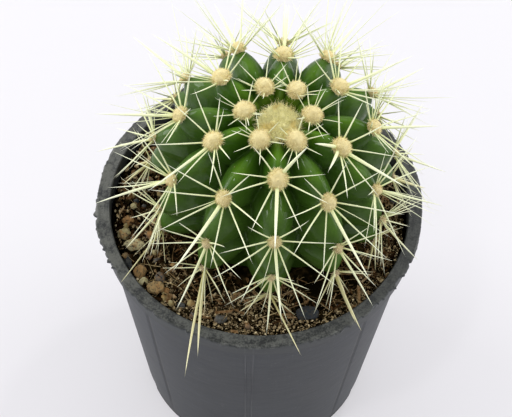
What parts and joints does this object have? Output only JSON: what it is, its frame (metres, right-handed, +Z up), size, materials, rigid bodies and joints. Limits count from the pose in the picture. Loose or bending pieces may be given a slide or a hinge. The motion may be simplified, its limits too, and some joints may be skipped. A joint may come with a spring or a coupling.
{
  "type": "potted round cactus",
  "caption": "Round barrel cactus with knobbed ribs, felt pads and long straw-coloured spines, in a dark grey tapered nursery pot filled with gritty soil.",
  "frame": {"origin": "centre of the pot's flat underside, on the surface that it stands on", "axes": "+Z up along the pot's axis, -Y towards the front as pictured, +X to the right"},
  "size_m": [0.1162, 0.1285, 0.1762],
  "materials": {
    "pot_plastic": "matt dark slate-grey moulded plastic, dusty and paler on the rim",
    "potting_soil": "rough gritty brown potting mix of grains, bark and fibre",
    "pebbles": "dull tan and grey pebbles",
    "cactus_skin": "smooth waxy green skin, glossy, yellower near the crown and darker in the grooves",
    "crown_wool": "dense cream-yellow wool",
    "spines_and_felt": "pale straw-yellow spines with a slight sheen, on matt tan felt pads"
  },
  "bodies": {
    "root": {"pot": "pot_plastic", "soil": "potting_soil", "stone_1": "pebbles", "stone_2": "pebbles", "stone_3": "pebbles", "stone_4": "pebbles", "stone_5": "pebbles", "stone_6": "pebbles", "stone_7": "pebbles", "cactus_body": "cactus_skin", "crown_wool": "crown_wool", "spines_ring1_rib01": "spines_and_felt", "spines_ring1_rib03": "spines_and_felt", "spines_ring1_rib05": "spines_and_felt", "spines_ring1_rib07": "spines_and_felt", "spines_ring1_rib09": "spines_and_felt", "spines_ring1_rib11": "spines_and_felt", "spines_ring2_rib02": "spines_and_felt", "spines_ring2_rib04": "spines_and_felt", "spines_ring2_rib06": "spines_and_felt", "spines_ring2_rib08": "spines_and_felt", "spines_ring2_rib10": "spines_and_felt", "spines_ring2_rib12": "spines_and_felt", "spines_ring3_rib01": "spines_and_felt", "spines_ring3_rib03": "spines_and_felt", "spines_ring3_rib05": "spines_and_felt", "spines_ring3_rib07": "spines_and_felt", "spines_ring3_rib09": "spines_and_felt", "spines_ring3_rib11": "spines_and_felt", "spines_ring4_rib02": "spines_and_felt", "spines_ring4_rib04": "spines_and_felt", "spines_ring4_rib06": "spines_and_felt", "spines_ring4_rib08": "spines_and_felt", "spines_ring4_rib10": "spines_and_felt", "spines_ring4_rib12": "spines_and_felt", "spines_ring5_rib01": "spines_and_felt", "spines_ring5_rib03": "spines_and_felt", "spines_ring5_rib05": "spines_and_felt", "spines_ring5_rib07": "spines_and_felt", "spines_ring5_rib09": "spines_and_felt", "spines_ring5_rib11": "spines_and_felt", "spines_ring6_rib02": "spines_and_felt", "spines_ring6_rib04": "spines_and_felt", "spines_ring6_rib06": "spines_and_felt", "spines_ring6_rib08": "spines_and_felt", "spines_ring6_rib10": "spines_and_felt", "spines_ring6_rib12": "spines_and_felt", "spines_ring7_rib01": "spines_and_felt", "spines_ring7_rib03": "spines_and_felt", "spines_ring7_rib05": "spines_and_felt", "spines_ring7_rib07": "spines_and_felt", "spines_ring7_rib09": "spines_and_felt", "spines_ring7_rib11": "spines_and_felt", "spines_ring8_rib02": "spines_and_felt", "spines_ring8_rib04": "spines_and_felt", "spines_ring8_rib06": "spines_and_felt", "spines_ring8_rib08": "spines_and_felt", "spines_ring8_rib10": "spines_and_felt", "spines_ring8_rib12": "spines_and_felt"}
  },
  "joints": []
}
